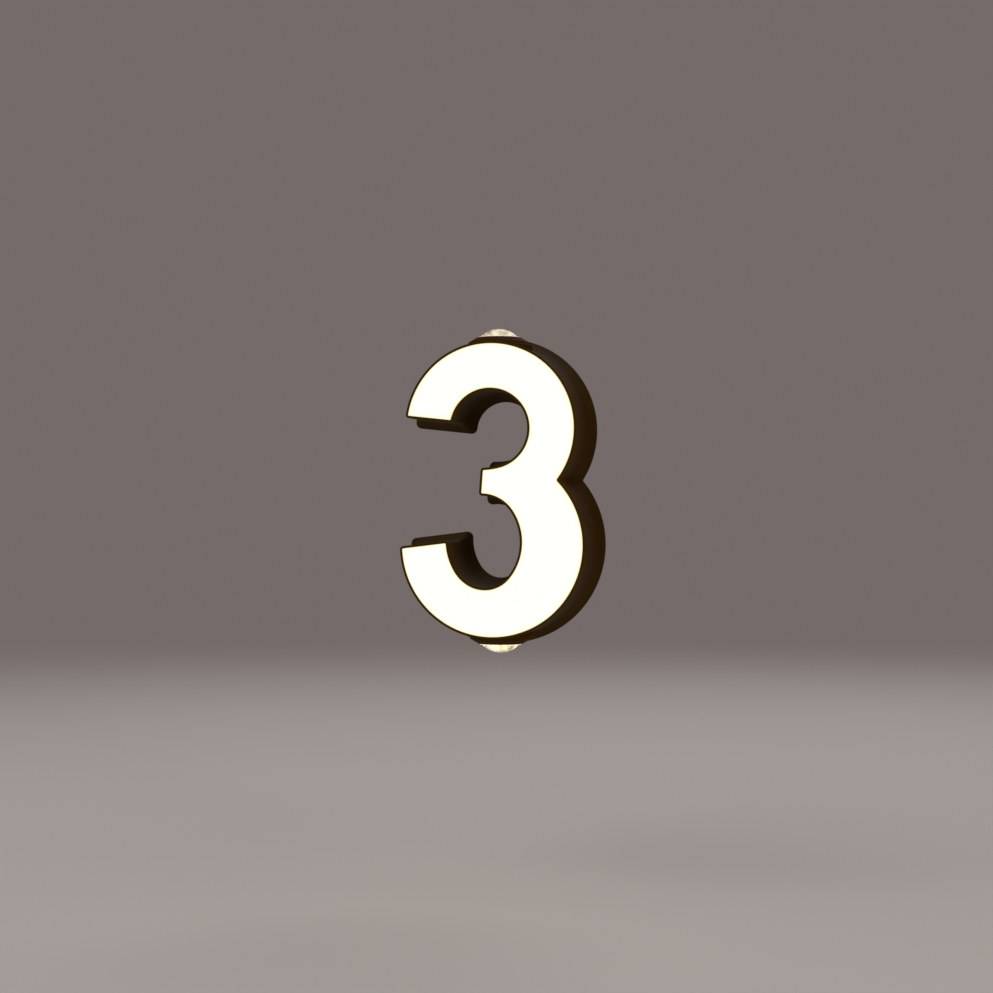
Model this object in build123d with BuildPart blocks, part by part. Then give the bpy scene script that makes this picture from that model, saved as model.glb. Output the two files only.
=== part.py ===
from build123d import *
from math import asin, atan2, cos, hypot, pi, radians, sin, sqrt
import os

os.makedirs("parts", exist_ok=True)

# Illuminated house number "3": a cast channel numeral with an opal front face,
# a flared skirt that meets the wall, and a spot lens at its top and bottom.
# Millimetres. +Z up, +X to the right as seen from the street, -Y out of the wall.
# The wall is the plane Y = 0. The origin is the middle of the two wall screws.
# "depth" below always means the distance from the wall, measured along -Y.

# ---------------------------------------------------------------- dimensions
DEPTH = 60.0            # wall to front rim
RIM = 1.5               # width of the dark rim round the lit face
SKIRT = 6.9             # how far the rear edge stands outside the lit outline
SKIRT_EDGE = 3.0        # straight rear edge of the skirt
SKIRT_TRIM = -2.9       # makes the corners of the skirt's edge 4 mm in radius
SKIRT_TOP = 21.0        # depth at which the skirt leaves the straight channel
WALL_IN = 0.8           # inner wall surface, inside the lit outline
SKIRT_IN = 3.9          # inner skirt surface at the wall, outside the lit outline
SKIRT_IN_TOP = 20.0     # depth at which the inside of the skirt ends

# The lit outline, (X, Z). The two bowls are circles outside; the counters are
# chains of tangent arcs. A joint between two arcs lies on the line through their
# centres, so each chain is given by one centre, the radii and the joint angles.
UP_C, UP_R = (-1.5, 41.5), 57.0          # upper bowl, outer circle
LO_C, LO_R = (-0.1, -36.9), 61.6         # lower bowl, outer circle
UC_C, UC_R = (-1.7, 41.4), 27.2          # upper counter
UC_NIB = (-76.6, 54.7)                   # joint angle and radius of its arc to the nib
LC_C, LC_R = (-17.56, -34.87), 38.11     # lower counter, right side
LC_NIB = (34.0, 25.5)                    # joint angle and radius up to the nib
LC_LOW = [(-39.5, 21.9), (-115.8, 26.3), (-149.0, 41.65)]   # and round the bottom
TERM_UP_OUT = (-57.75, 50.15)            # upper terminal, outer corner
TERM_UP_IN = (-28.40, 47.00)             # upper terminal, inner corner
TERM_LO_OUT = (-61.65, -39.30)           # lower terminal, outer corner
TERM_LO_IN = (-31.60, -35.60)            # lower terminal, inner corner
NOTCH = (43.60, 6.70)                    # where the two outer circles meet
NOTCH_R = 1.7                            # radius of the lit face's corner there
NIB_LO = (-7.33, -2.48)                  # middle nib, lower corner
NIB_UP = (-6.20, 13.46)                  # middle nib, upper corner

# Front face stack, by depth
FACE_T = 3.0
FACE_BACK = DEPTH - 0.2 - FACE_T         # 56.8
FACE_GAP = 0.1
TAPE_T = 0.5
LEDGE_FRONT = FACE_BACK - TAPE_T         # 56.3
LEDGE_BACK = 53.3
LEDGE_IN = 2.4
BOARD_FRONT, BOARD_BACK = 48.8, 47.2
FILM_T = 0.3
LUG_R = 3.4

# Spot modules, turned about a vertical axis. Heights are measured from the
# numeral's centre; the lower module is the upper one turned over.
SPOT_DEPTH = 27.3
SPOT_X_TOP, SPOT_X_LOW = -1.5, -0.1
SPOT_SEAT = 99.8        # flat seat of the lens ring
SPOT_TOP = 104.5        # flat top of the lens ring
DOME_TOP = 110.5        # apex of the lens
BEAD_TOP = 105.0        # top of the bead at the foot of the dome
LENS_R = 14.25
LENS_FLANGE_R = 15.2
RING_R = 21.0
THREAD_R = 17.0
BOSS_R = 23.0
COLLAR_R = 20.0
COLLAR_END = 93.0
CUP_SEAT = 95.0
CUP_R = 14.6
CUP_END = 78.0
SPOT_FLAT = -19.6       # the collar's front is cut flat here, from the spot's axis
BACK = {True: 1, False: -1}   # local Y towards the wall, on a spot_level plane

# Mounting plate and fixings
PLATE_T = 2.0
PLATE_OUT = 3.7
SLOT_Z = 84.0           # wall screws at Z = +84 and -84
SLOT_R = 2.6
SLOT_L = 9.0
ENTRY = (20.0, 4.0)     # cable entry, (X, Z)
TAB_DEPTH = 6.0         # axis of the set screws
TAB_TOP = 9.5           # depth of the tabs' free edge
# (centre, radius of the lit outline, angle, side): side 1 is an outer wall,
# side -1 is the wall of a counter
TABS = [
    (UP_C, UP_R, 160.0, 1),
    (LO_C, LO_R, 203.0, 1),
    (UC_C, UC_R, -8.0, -1),
    (LC_C, LC_R, 0.0, -1),
]

# Driver, on the plate
DRV_X, DRV_Z, DRV_W, DRV_L, DRV_H = 38.0, -37.0, 26.0, 54.0, 22.0
# Terminal block, on the plate
TB_X, TB_Z, TB_W, TB_L, TB_H = 40.0, 41.0, 17.0, 28.0, 14.0
TB_POLES = [32.0, 41.0, 50.0]
EARTH = (20.0, 79.0)


def on_arc(c, r, ang):
    return (c[0] + r * cos(radians(ang)), c[1] + r * sin(radians(ang)))


def next_centre(c, r, ang, r_next):
    """Centre of an arc of radius r_next that leaves circle (c, r) at ang, tangent."""
    return on_arc(on_arc(c, r, ang), -r_next, ang)


def outline_elements():
    """The outline, clockwise, as elements and the joint at the start of each.
    An arc is (centre, radius, side): side 1 has metal inside the circle, -1 outside.
    A line is (start, end). A joint is (kind, point)."""
    nib_low = next_centre(LC_C, LC_R, LC_NIB[0], LC_NIB[1])
    low, c, r = [], LC_C, LC_R
    for ang, r_next in LC_LOW:
        c = next_centre(c, r, ang, r_next)
        joint = on_arc(c, r_next, ang)
        low.append((c, r_next, joint))
        r = r_next
    nib_up = next_centre(UC_C, UC_R, UC_NIB[0], UC_NIB[1])
    return [
        (("corner", TERM_UP_OUT), (UP_C, UP_R, 1)),
        (("notch", NOTCH), (LO_C, LO_R, 1)),
        (("corner", TERM_LO_OUT), (TERM_LO_OUT, TERM_LO_IN)),
        (("corner", TERM_LO_IN), (low[2][0], low[2][1], -1)),
        (("smooth", low[2][2]), (low[1][0], low[1][1], -1)),
        (("smooth", low[1][2]), (low[0][0], low[0][1], -1)),
        (("smooth", low[0][2]), (LC_C, LC_R, -1)),
        (("smooth", on_arc(LC_C, LC_R, LC_NIB[0])), (nib_low, LC_NIB[1], -1)),
        (("corner", NIB_LO), (NIB_LO, NIB_UP)),
        (("corner", NIB_UP), (nib_up, UC_NIB[1], -1)),
        (("smooth", on_arc(UC_C, UC_R, UC_NIB[0])), (UC_C, UC_R, -1)),
        (("corner", TERM_UP_IN), (TERM_UP_IN, TERM_UP_OUT)),
    ]


def grown(e, g):
    """An element moved outward from the metal by g."""
    if len(e) == 3:
        return (e[0], e[1] + e[2] * g, e[2])
    (x1, z1), (x2, z2) = e
    d = hypot(x2 - x1, z2 - z1)
    nx, nz = -(z2 - z1) / d * g, (x2 - x1) / d * g
    return ((x1 + nx, z1 + nz), (x2 + nx, z2 + nz))


def foot(e, p):
    """The point of an element nearest to p."""
    if len(e) == 3:
        d = hypot(p[0] - e[0][0], p[1] - e[0][1])
        return (e[0][0] + (p[0] - e[0][0]) * e[1] / d, e[0][1] + (p[1] - e[0][1]) * e[1] / d)
    (x1, z1), (x2, z2) = e
    t = ((p[0] - x1) * (x2 - x1) + (p[1] - z1) * (z2 - z1)) / ((x2 - x1) ** 2 + (z2 - z1) ** 2)
    return (x1 + t * (x2 - x1), z1 + t * (z2 - z1))


def meet(e1, e2, near):
    """Where two elements cross, nearest to a point."""
    if len(e1) == 2:
        e1, e2 = e2, e1
    (cx, cz), r = e1[0], e1[1]
    if len(e2) == 2:
        m = foot(e2, (cx, cz))
        (x1, z1), (x2, z2) = e2
        d = hypot(x2 - x1, z2 - z1)
        ux, uz = (x2 - x1) / d, (z2 - z1) / d
        h2 = r * r - (m[0] - cx) ** 2 - (m[1] - cz) ** 2
    else:
        (kx, kz), q = e2[0], e2[1]
        d = hypot(kx - cx, kz - cz)
        a = (r * r - q * q + d * d) / (2 * d)
        m = (cx + a * (kx - cx) / d, cz + a * (kz - cz) / d)
        ux, uz = -(kz - cz) / d, (kx - cx) / d
        h2 = r * r - a * a
    h = sqrt(max(h2, 0.0))
    both = [(m[0] + s * h * ux, m[1] + s * h * uz) for s in (1, -1)]
    return min(both, key=lambda p: hypot(p[0] - near[0], p[1] - near[1]))


def outline(g, corner_r=0.0, notch_r=0.0):
    """The outline grown by g, as a list of spans: ("line", p, q) or
    ("arc", p, middle, q). Corners of radius corner_r and notch_r in the lit outline
    grow and shrink with it, so outlines with the same radii have the same spans."""
    el = outline_elements()
    n = len(el)
    starts, ends, rounds = [None] * n, [None] * n, [None] * n
    for i in range(n):
        (kind, p), e, before = el[i][0], el[i][1], el[i - 1][1]
        e_g, b_g = grown(e, g), grown(before, g)
        if kind == "smooth":
            starts[i] = ends[i - 1] = foot(e_g, p)
            continue
        base, total = (-corner_r, corner_r + g) if kind == "corner" else (notch_r, notch_r - g)
        if total <= 1e-6:
            starts[i] = ends[i - 1] = meet(e_g, b_g, p)
        else:
            c = meet(grown(e, base), grown(before, base), p)
            starts[i], ends[i - 1] = foot(e_g, c), foot(b_g, c)
            rounds[i] = (c, total)
    spans = []
    for i in range(n):
        if rounds[i]:
            c, r = rounds[i]
            p, q = ends[i - 1], starts[i]
            mx, mz = (p[0] + q[0]) / 2 - c[0], (p[1] + q[1]) / 2 - c[1]
            k = r / hypot(mx, mz)
            spans.append(("arc", p, (c[0] + mx * k, c[1] + mz * k), q))
        e = grown(el[i][1], g)
        if len(e) == 2:
            spans.append(("line", starts[i], ends[i]))
        else:
            c, r, side = e
            a0 = atan2(starts[i][1] - c[1], starts[i][0] - c[0])
            a1 = atan2(ends[i][1] - c[1], ends[i][0] - c[0])
            turn = (a1 - a0) % (2 * pi) if side < 0 else -((a0 - a1) % (2 * pi))
            a = a0 + turn / 2
            spans.append(("arc", starts[i], (c[0] + r * cos(a), c[1] + r * sin(a)), ends[i]))
    return spans


def numeral(depth, grow, corner_r=0.0, notch_r=0.0):
    """The numeral in a plane at this depth, grown or shrunk from the lit outline."""
    with BuildSketch(Plane.XZ.offset(depth)) as sk:
        with BuildLine():
            for span in outline(grow, corner_r, notch_r):
                if span[0] == "line":
                    Line(span[1], span[2])
                else:
                    ThreePointArc(span[1], span[2], span[3])
        make_face()
    return sk.sketch


def spot_plane(top):
    """Local X is world X, local Y is up for the top spot and down for the lower one."""
    if top:
        return Plane(origin=(SPOT_X_TOP, -SPOT_DEPTH, 0), x_dir=(1, 0, 0), z_dir=(0, -1, 0))
    return Plane(origin=(SPOT_X_LOW, -SPOT_DEPTH, 0), x_dir=(1, 0, 0), z_dir=(0, 1, 0))


def spot_axis(top):
    return Axis((SPOT_X_TOP if top else SPOT_X_LOW, -SPOT_DEPTH, 0), (0, 0, 1))


def turned(top, points, mode=Mode.ADD):
    """A solid of revolution about a spot's axis, from (radius, height) points."""
    with BuildSketch(spot_plane(top)) as section:
        with BuildLine():
            Polyline(*points, close=True)
        make_face()
    revolve(section.sketch, axis=spot_axis(top), mode=mode)


def spot_at(top, dx, dy, h):
    """A point of a spot module: dx along X, dy towards the wall, h from the centre."""
    s = 1 if top else -1
    return ((SPOT_X_TOP if top else SPOT_X_LOW) + dx, -SPOT_DEPTH + dy, s * h)


def spot_level(top, h):
    """A plane across a spot's axis at height h, facing away from the numeral."""
    return Plane(origin=spot_at(top, 0, 0, h), x_dir=(1, 0, 0), z_dir=(0, 0, 1 if top else -1))


def radial_plane(c, r, ang, depth):
    """A plane whose normal points outward along a bowl's radius, at this depth."""
    x, z = on_arc(c, r, ang)
    return Plane(origin=(x, -depth, z), x_dir=(0, -1, 0), z_dir=(cos(radians(ang)), 0, sin(radians(ang))))


def save(part, name):
    part.label = name
    export_step(part, f"parts/{name}.step")


# ---------------------------------------------------------------- board places
LUGS = [
    on_arc(UP_C, UP_R - 3.6, 148.0),
    on_arc(UP_C, UP_R - 3.6, 62.0),
    on_arc(UP_C, UP_R - 3.6, -4.0),
    on_arc(LO_C, LO_R - 3.6, 8.0),
    on_arc(LO_C, LO_R - 3.6, -50.0),
    on_arc(LO_C, LO_R - 3.6, -118.0),
    on_arc(LO_C, LO_R - 3.6, -164.0),
]
LED_POINTS = (
    [on_arc(UP_C, 48.0, 161.0 - 17.5 * k) for k in range(12)]
    + [on_arc(UP_C, 35.5, 158.0 - 24.0 * k) for k in range(9)]
    + [on_arc(LO_C, 52.5, 40.0 - 16.2 * k) for k in range(14)]
    + [on_arc(LO_C, 39.5, 68.0 - 21.0 * k) for k in range(12)]
    + [(0.5, 5.5), (28.5, 4.5)]
)

# ---------------------------------------------------------------- housing
def backing(top):
    """The lump that fills the hollow skirt behind a lens ring."""
    sections = [(14.0, 1.0), (9.5, 2.5), (6.0, SKIRT_IN + 0.4), (3.5, SKIRT_IN + 0.4)]
    with BuildPart() as lump:
        for (d1, g1), (d2, g2) in zip(sections, sections[1:]):
            lower, upper = numeral(d2, g2, 1.0, 5.0), numeral(d1, g1, 1.0, 5.0)
            loft(sections=[lower.faces()[0], upper.faces()[0]], ruled=True)
        turned(top, [(0, COLLAR_END + 0.4), (BOSS_R - 0.2, COLLAR_END + 0.4), (BOSS_R - 0.2, 112), (0, 112)], Mode.INTERSECT)
    return lump.part


BACKINGS = {top: backing(top) for top in (True, False)}

with BuildPart() as housing:
    # straight channel, then the skirt, which sweeps out in four cones
    extrude(numeral(SKIRT_TOP, RIM), amount=DEPTH - SKIRT_TOP)
    levels = [(SKIRT_TOP, RIM, 0.0), (15.5, 2.35, -0.35), (10.5, 3.9, -1.3), (6.0, 5.7, -2.3), (SKIRT_EDGE, SKIRT, SKIRT_TRIM)]
    for (d1, g1, c1), (d2, g2, c2) in zip(levels, levels[1:]):
        lower, upper = numeral(d2, g2, c2), numeral(d1, g1, c1)
        loft(sections=[lower.faces()[0], upper.faces()[0]], ruled=True)
    extrude(numeral(0, SKIRT, SKIRT_TRIM), amount=SKIRT_EDGE)
    # raised bosses round the spot openings
    for top in (True, False):
        turned(top, [(0, SPOT_SEAT - 14), (BOSS_R, SPOT_SEAT - 14), (BOSS_R, SPOT_SEAT - 1.2), (BOSS_R - 1.2, SPOT_SEAT), (0, SPOT_SEAT)])
    # inside: the channel, the mouth for the face, and the hollow skirt
    extrude(numeral(SKIRT_IN_TOP, -WALL_IN, 1.0, 5.0), amount=LEDGE_BACK - SKIRT_IN_TOP, mode=Mode.SUBTRACT)
    extrude(numeral(LEDGE_BACK - 1, -LEDGE_IN), amount=10, mode=Mode.SUBTRACT)
    extrude(numeral(LEDGE_FRONT, 0, 0.0, NOTCH_R), amount=10, mode=Mode.SUBTRACT)
    inner = [(SKIRT_IN_TOP, -WALL_IN), (14.0, 0.6), (9.5, 2.1), (6.0, SKIRT_IN)]
    for (d1, g1), (d2, g2) in zip(inner, inner[1:]):
        lower, upper = numeral(d2, g2, 1.0, 5.0), numeral(d1, g1, 1.0, 5.0)
        loft(sections=[lower.faces()[0], upper.faces()[0]], ruled=True, mode=Mode.SUBTRACT)
    extrude(numeral(0, SKIRT_IN, 1.0, 5.0), amount=6.0, mode=Mode.SUBTRACT)
    # rebate for the wall gasket
    extrude(numeral(0, SKIRT - 1.0, SKIRT_TRIM), amount=1.5, mode=Mode.SUBTRACT)
    for top in (True, False):
        # solid behind the ring, so that the ring's pocket doesn't open into the skirt
        add(BACKINGS[top])
        # collar inside the wall, flattened where the board passes it
        near = SPOT_FLAT if top else -COLLAR_R
        far = COLLAR_R if top else -SPOT_FLAT
        with BuildSketch(spot_level(top, COLLAR_END)) as collar:
            Circle(COLLAR_R)
            with Locations((0, (near + far) / 2)):
                Rectangle(3 * COLLAR_R, far - near, mode=Mode.INTERSECT)
        extrude(collar.sketch, amount=SPOT_SEAT - COLLAR_END)
        # threaded bore, shoulder for the lamp cup, and the ring's flat seat
        turned(top, [(0, 90), (CUP_R + 0.4, 90), (CUP_R + 0.4, CUP_SEAT), (THREAD_R + 0.2, CUP_SEAT), (THREAD_R + 0.2, SPOT_SEAT), (RING_R + 0.4, SPOT_SEAT), (RING_R + 0.4, 114), (0, 114)], Mode.SUBTRACT)
    # lugs under the ledge, for the face board
    with BuildSketch(Plane.XZ.offset(BOARD_FRONT)) as lugs:
        with Locations(*LUGS):
            Circle(LUG_R)
    extrude(lugs.sketch, amount=LEDGE_BACK + 0.5 - BOARD_FRONT)
    with BuildSketch(Plane.XZ.offset(BOARD_FRONT)) as taps:
        with Locations(*LUGS):
            Circle(1.25)
    extrude(taps.sketch, amount=4.0, mode=Mode.SUBTRACT)
    # clearance holes for the set screws
    for c, r, ang, side in TABS:
        with BuildSketch(radial_plane(c, r + side * 0.6, ang, TAB_DEPTH)) as hole:
            Circle(2.1)
        extrude(hole.sketch, amount=side * 9.0, mode=Mode.SUBTRACT)
save(housing.part, "housing")


# ---------------------------------------------------------------- front face
with BuildPart() as face_diffuser:
    extrude(numeral(FACE_BACK, -FACE_GAP, 0.4, NOTCH_R), amount=FACE_T)
save(face_diffuser.part, "face_diffuser")

with BuildPart() as diffuser_tape:
    extrude(numeral(LEDGE_FRONT, -0.3, 0.6), amount=TAPE_T)
    extrude(numeral(LEDGE_FRONT, -2.3), amount=TAPE_T, mode=Mode.SUBTRACT)
save(diffuser_tape.part, "diffuser_tape")

with BuildPart() as led_board:
    extrude(numeral(BOARD_BACK, -1.1, 1.2, 5.0), amount=BOARD_FRONT - BOARD_BACK)
    with BuildSketch(Plane.XZ.offset(BOARD_BACK)) as holes:
        with Locations(*LUGS):
            Circle(1.7)
    extrude(holes.sketch, amount=2.0, mode=Mode.SUBTRACT)
save(led_board.part, "led_board")

with BuildPart() as reflector_film:
    extrude(numeral(BOARD_FRONT, -1.3, 1.4, 5.0), amount=FILM_T)
    with BuildSketch(Plane.XZ.offset(BOARD_FRONT)) as windows:
        with Locations(*LED_POINTS):
            Rectangle(3.2, 3.9)
        with Locations(*LUGS):
            Circle(LUG_R + 0.3)
    extrude(windows.sketch, amount=FILM_T, mode=Mode.SUBTRACT)
save(reflector_film.part, "reflector_film")

with BuildPart() as face_leds:
    with BuildSketch(Plane.XZ.offset(BOARD_FRONT)) as chips:
        with Locations(*LED_POINTS):
            Rectangle(2.8, 3.5)
    extrude(chips.sketch, amount=0.8)
save(face_leds.part, "face_leds")

with BuildPart() as board_screws:
    with BuildSketch(Plane.XZ.offset(BOARD_BACK)) as shanks:
        with Locations(*LUGS):
            Circle(1.2)
    extrude(shanks.sketch, amount=4.8)
    with BuildSketch(Plane.XZ.offset(BOARD_BACK)) as heads:
        with Locations(*LUGS):
            Circle(2.8)
    extrude(heads.sketch, amount=-2.0)
    with BuildSketch(Plane.XZ.offset(BOARD_BACK - 2.0)) as recess:
        with Locations(*LUGS):
            Rectangle(2.6, 0.7)
            Rectangle(0.7, 2.6)
    extrude(recess.sketch, amount=1.1, mode=Mode.SUBTRACT)
save(board_screws.part, "board_screws")

with BuildPart() as board_connector:
    with BuildSketch(Plane.XZ.offset(BOARD_BACK)) as base:
        with Locations((14.0, 4.0)):
            Rectangle(9.0, 5.0)
    extrude(base.sketch, amount=-4.0)
    with BuildSketch(Plane.XZ.offset(BOARD_BACK - 4.0)) as ports:
        with Locations((12.5, 4.0), (15.5, 4.0)):
            Circle(0.95)
    extrude(ports.sketch, amount=1.5, mode=Mode.SUBTRACT)
save(board_connector.part, "board_connector")


# ---------------------------------------------------------------- spot modules
def lens_shape(top):
    """A solid clear lens: a flange under the ring, a bead just above it and a dome."""
    rise, half = DOME_TOP - 103.4, LENS_R
    ball = (half * half + rise * rise) / (2 * rise)
    foot_r = sqrt(ball ** 2 - (BEAD_TOP - DOME_TOP + ball) ** 2)
    mid = asin(foot_r / ball) / 2
    with BuildSketch(spot_plane(top)) as section:
        with BuildLine():
            Polyline((0, DOME_TOP), (0, 98.3), (8.0, 97.5), (LENS_FLANGE_R, 97.5), (LENS_FLANGE_R, 99.5), (LENS_R, 99.5), (LENS_R, BEAD_TOP - 0.2), (LENS_R - 0.25, BEAD_TOP), (foot_r, BEAD_TOP))
            ThreePointArc((foot_r, BEAD_TOP), (ball * sin(mid), DOME_TOP - ball + ball * cos(mid)), (0, DOME_TOP))
        make_face()
    revolve(section.sketch, axis=spot_axis(top))


def ring_shape(top):
    """The threaded ring that holds the lens: a thin lip over the lens flange, a
    conical outside, and two holes for a pin spanner."""
    turned(top, [(LENS_R + 0.15, 99.5), (15.4, 99.5), (15.4, 97.0), (THREAD_R, 97.0), (THREAD_R, SPOT_SEAT), (RING_R, SPOT_SEAT), (RING_R, 101.0), (20.4, 101.5), (15.3, SPOT_TOP), (14.8, SPOT_TOP), (LENS_R + 0.15, SPOT_TOP - 0.4)])
    with BuildSketch(spot_level(top, 100.8)) as spanner:
        with Locations((18.4, 0), (-18.4, 0)):
            Circle(0.9)
    extrude(spanner.sketch, amount=4.0, mode=Mode.SUBTRACT)


def cup_shape(top):
    """The lamp cup, which hangs by its flange in the housing's bore."""
    turned(top, [(0, CUP_END), (CUP_R, CUP_END), (CUP_R, CUP_SEAT), (16.8, CUP_SEAT), (16.8, 96.5), (12.8, 96.5), (12.8, 81.0), (0, 81.0)])
    with BuildSketch(spot_level(top, CUP_END)) as holes:
        with Locations((8, 0), (-8, 0)):
            Circle(1.0)
        with Locations((2, BACK[top] * 6.5), (-2, BACK[top] * 6.5)):
            Circle(1.3)
    extrude(holes.sketch, amount=3.0, mode=Mode.SUBTRACT)


def spot_board_shape(top):
    with BuildSketch(spot_level(top, 81.0)) as disc:
        Circle(10.0)
        with Locations((8, 0), (-8, 0)):
            Circle(1.35, mode=Mode.SUBTRACT)
        with Locations((2, BACK[top] * 6.5), (-2, BACK[top] * 6.5)):
            Circle(0.95, mode=Mode.SUBTRACT)
    extrude(disc.sketch, amount=1.6)


def emitter_shape(top):
    with BuildSketch(spot_level(top, 82.6)) as base:
        Rectangle(3.5, 3.5)
    extrude(base.sketch, amount=0.8)
    turned(top, [(0, 83.2), (1.5, 83.2), (1.5, 83.6), (1.3, 84.2), (0.8, 84.7), (0, 84.9)])


def spot_reflector_shape(top):
    turned(top, [(3.0, 82.6), (4.2, 82.6), (12.6, 95.6), (12.6, 96.4), (11.7, 96.4), (3.0, 83.4)])


def lens_gasket_shape(top):
    turned(top, [(12.0, 96.5), (LENS_FLANGE_R, 96.5), (LENS_FLANGE_R, 97.5), (12.0, 97.5)])


with BuildPart() as top_lens:
    lens_shape(True)
save(top_lens.part, "top_lens")
with BuildPart() as bottom_lens:
    lens_shape(False)
save(bottom_lens.part, "bottom_lens")

with BuildPart() as top_lens_ring:
    ring_shape(True)
save(top_lens_ring.part, "top_lens_ring")
with BuildPart() as bottom_lens_ring:
    ring_shape(False)
save(bottom_lens_ring.part, "bottom_lens_ring")

with BuildPart() as top_lens_gasket:
    lens_gasket_shape(True)
save(top_lens_gasket.part, "top_lens_gasket")
with BuildPart() as bottom_lens_gasket:
    lens_gasket_shape(False)
save(bottom_lens_gasket.part, "bottom_lens_gasket")

with BuildPart() as top_lamp_cup:
    cup_shape(True)
save(top_lamp_cup.part, "top_lamp_cup")
with BuildPart() as bottom_lamp_cup:
    cup_shape(False)
save(bottom_lamp_cup.part, "bottom_lamp_cup")

with BuildPart() as top_spot_reflector:
    spot_reflector_shape(True)
save(top_spot_reflector.part, "top_spot_reflector")
with BuildPart() as bottom_spot_reflector:
    spot_reflector_shape(False)
save(bottom_spot_reflector.part, "bottom_spot_reflector")

with BuildPart() as top_spot_board:
    spot_board_shape(True)
save(top_spot_board.part, "top_spot_board")
with BuildPart() as bottom_spot_board:
    spot_board_shape(False)
save(bottom_spot_board.part, "bottom_spot_board")

with BuildPart() as top_spot_led:
    emitter_shape(True)
save(top_spot_led.part, "top_spot_led")
with BuildPart() as bottom_spot_led:
    emitter_shape(False)
save(bottom_spot_led.part, "bottom_spot_led")

with BuildPart() as spot_board_screws:
    for top in (True, False):
        with BuildSketch(spot_level(top, 79.0)) as shanks:
            with Locations((8, 0), (-8, 0)):
                Circle(0.95)
        extrude(shanks.sketch, amount=3.6)
        with BuildSketch(spot_level(top, 82.6)) as heads:
            with Locations((8, 0), (-8, 0)):
                Circle(1.9)
        extrude(heads.sketch, amount=1.6)
        with BuildSketch(spot_level(top, 83.4)) as recess:
            with Locations((8, 0), (-8, 0)):
                Rectangle(2.0, 0.5)
                Rectangle(0.5, 2.0)
        extrude(recess.sketch, amount=1.0, mode=Mode.SUBTRACT)
save(spot_board_screws.part, "spot_board_screws")


# ---------------------------------------------------------------- wall side
with BuildPart() as mounting_plate:
    extrude(numeral(0, PLATE_OUT, 1.0, 5.0), amount=PLATE_T)
    for c, r, ang, side in TABS:
        with BuildSketch(radial_plane(c, r - side * 0.4, ang, TAB_DEPTH)) as tab:
            # local X points away from the wall, from the plate to the tab's top
            with Locations(((TAB_TOP + PLATE_T) / 2 - TAB_DEPTH - 0.5, 0)):
                Rectangle(TAB_TOP - PLATE_T + 1.0, 10.0)
        extrude(tab.sketch, amount=side * 2.0)
        with BuildSketch(radial_plane(c, r - side * 2.0, ang, TAB_DEPTH)) as hole:
            Circle(2.0)
        extrude(hole.sketch, amount=side * 6.0, mode=Mode.SUBTRACT)
    with BuildSketch(Plane.XZ) as cuts:
        with Locations((0, SLOT_Z), (0, -SLOT_Z)):
            SlotOverall(SLOT_L, 2 * SLOT_R, rotation=90)
        with Locations(ENTRY):
            Circle(7.0)
        with Locations((DRV_X, DRV_Z + DRV_L / 2 + 2.8), (DRV_X, DRV_Z - DRV_L / 2 - 2.8)):
            Circle(1.55)
        with Locations((TB_X, TB_Z - 4.5)):
            Circle(1.25)
        with Locations(EARTH):
            Circle(2.0)
    extrude(cuts.sketch, amount=PLATE_T, mode=Mode.SUBTRACT)
save(mounting_plate.part, "mounting_plate")

with BuildPart() as wall_gasket:
    extrude(numeral(0, SKIRT - 1.1, SKIRT_TRIM), amount=1.5)
    extrude(numeral(0, SKIRT_IN + 0.2, 1.0, 5.0), amount=1.5, mode=Mode.SUBTRACT)
save(wall_gasket.part, "wall_gasket")

with BuildPart() as set_screws:
    for c, r, ang, side in TABS:
        with BuildSketch(radial_plane(c, r - side * 0.9, ang, TAB_DEPTH)) as body:
            Circle(1.95)
        extrude(body.sketch, amount=side * 6.0)
        with BuildSketch(radial_plane(c, r + side * 5.1, ang, TAB_DEPTH)) as socket:
            RegularPolygon(1.15, 6)
        extrude(socket.sketch, amount=-side * 2.4, mode=Mode.SUBTRACT)
save(set_screws.part, "set_screws")

with BuildPart() as cable_grommet:
    with BuildSketch(Plane(origin=(ENTRY[0], 0, ENTRY[1]), x_dir=(1, 0, 0), z_dir=(0, 0, 1))) as section:
        with BuildLine():
            Polyline((4.0, 0), (6.9, 0), (6.9, -2.0), (8.6, -2.0), (8.6, -4.0), (5.6, -7.5), (4.0, -7.5), close=True)
        make_face()
    revolve(section.sketch, axis=Axis((ENTRY[0], 0, ENTRY[1]), (0, 1, 0)))
save(cable_grommet.part, "cable_grommet")

# ---------------------------------------------------------------- driver
DRV_TOP, DRV_LOW = DRV_Z + DRV_L / 2, DRV_Z - DRV_L / 2
DRV_WALL = 1.5
TOP_PORTS = [(30.0, 9.0), (33.5, 9.0), (41.0, 18.0), (44.0, 18.0), (45.2, 12.0), (48.2, 12.0)]
LOW_PORTS = [(32.0, 12.0), (35.0, 12.0)]

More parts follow.
